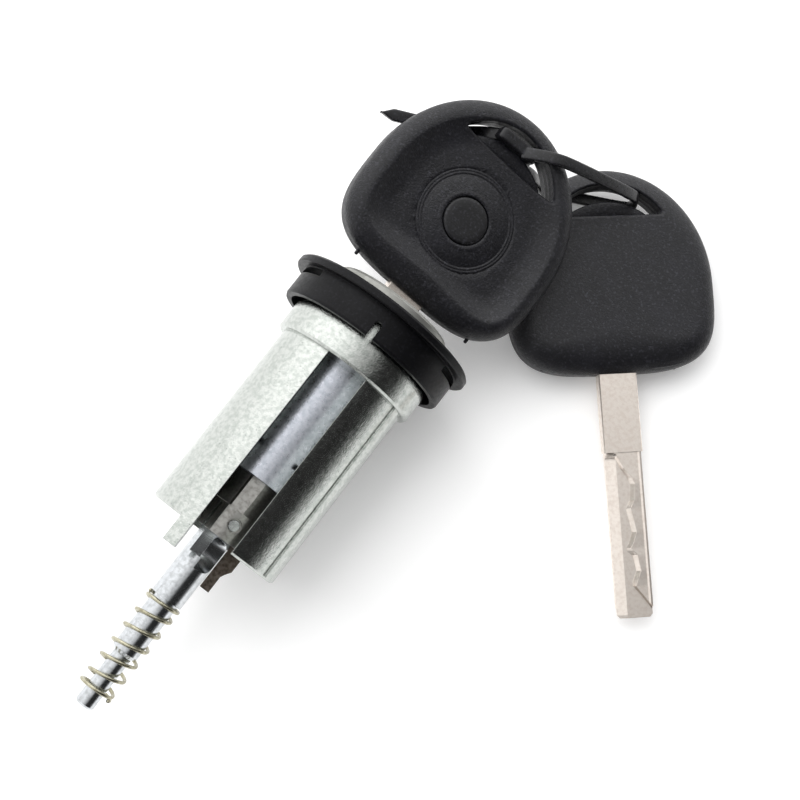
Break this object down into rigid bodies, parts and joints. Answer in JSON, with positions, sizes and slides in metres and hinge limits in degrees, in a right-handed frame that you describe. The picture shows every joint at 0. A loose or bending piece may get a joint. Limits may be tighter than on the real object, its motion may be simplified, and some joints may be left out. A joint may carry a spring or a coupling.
{
  "type": "ignition switch",
  "caption": "Ignition lock with a die-cast barrel, black cap ring, wafer plug and sprung spindle, its key in place and a spare key held to it by a cable tie.",
  "frame": {"origin": "on the lock's axis, in the plane of the cap ring's back face", "axes": "+Y along the lock's axis from the key to the spindle, +Z out of the window in the housing, -X towards the spare key"},
  "size_m": [0.0968, 0.1392, 0.0364],
  "materials": {
    "zinc_casting": "bright die-cast zinc",
    "black_plastic": "satin moulded",
    "lever_metal": "oiled sintered steel",
    "pin_steel": "ground",
    "plug_metal": "smooth die-cast zinc",
    "face_steel": "satin stamped",
    "wafer_brass": "stamped",
    "spring_wire": "drawn wire",
    "driver_metal": "oiled",
    "spindle_steel": "turned",
    "bow_plastic": "fine-grained",
    "badge_plastic": "polished",
    "blade_nickel": "milled",
    "chip_casting": "cast resin",
    "tie_nylon": "moulded nylon"
  },
  "bodies": {
    "lock_housing": {"housing": "zinc_casting", "cap_ring": "black_plastic", "lever_pin": "pin_steel"},
    "rotor": {"plug": "plug_metal", "face_cap": "face_steel", "retaining_wafer": "pin_steel", "retaining_spring": "spring_wire", "wafer_1": "wafer_brass", "wafer_2": "wafer_brass", "wafer_3": "wafer_brass", "wafer_4": "wafer_brass", "wafer_5": "wafer_brass", "wafer_6": "wafer_brass", "wafer_7": "wafer_brass", "wafer_8": "wafer_brass", "wafer_spring_1": "spring_wire", "wafer_spring_2": "spring_wire", "wafer_spring_3": "spring_wire", "wafer_spring_4": "spring_wire", "wafer_spring_5": "spring_wire", "wafer_spring_6": "spring_wire", "wafer_spring_7": "spring_wire", "wafer_spring_8": "spring_wire", "driver": "driver_metal", "cross_pin": "pin_steel", "spindle": "spindle_steel", "spindle_spring": "spring_wire"},
    "key": {"key_bow": "bow_plastic", "key_badge": "badge_plastic", "key_blade": "blade_nickel", "key_chip": "chip_casting", "key_chip_cap": "bow_plastic", "spare_bow": "bow_plastic", "spare_badge": "badge_plastic", "spare_blade": "blade_nickel", "spare_chip": "chip_casting", "spare_chip_cap": "bow_plastic", "cable_tie": "tie_nylon"},
    "lever": {"catch_lever": "lever_metal"}
  },
  "joints": [
    {"name": "key_turn", "type": "hinge", "parent": "lock_housing", "child": "rotor", "pos_m": [0, 0, 0], "axis": [0, 1, 0], "range_deg": [0, 110]},
    {"name": "key_pull", "type": "slide", "parent": "rotor", "child": "key", "axis": [0, -1, 0], "range_m": [0, 0.047]},
    {"name": "lever_swing", "type": "hinge", "parent": "lock_housing", "child": "lever", "pos_m": [-0.0046, 0.04, -0.0086], "axis": [-1, 0, 0], "range_deg": [0, 4], "stiffness_Nm_per_rad": 0.01, "springref_deg": -5.73}
  ]
}
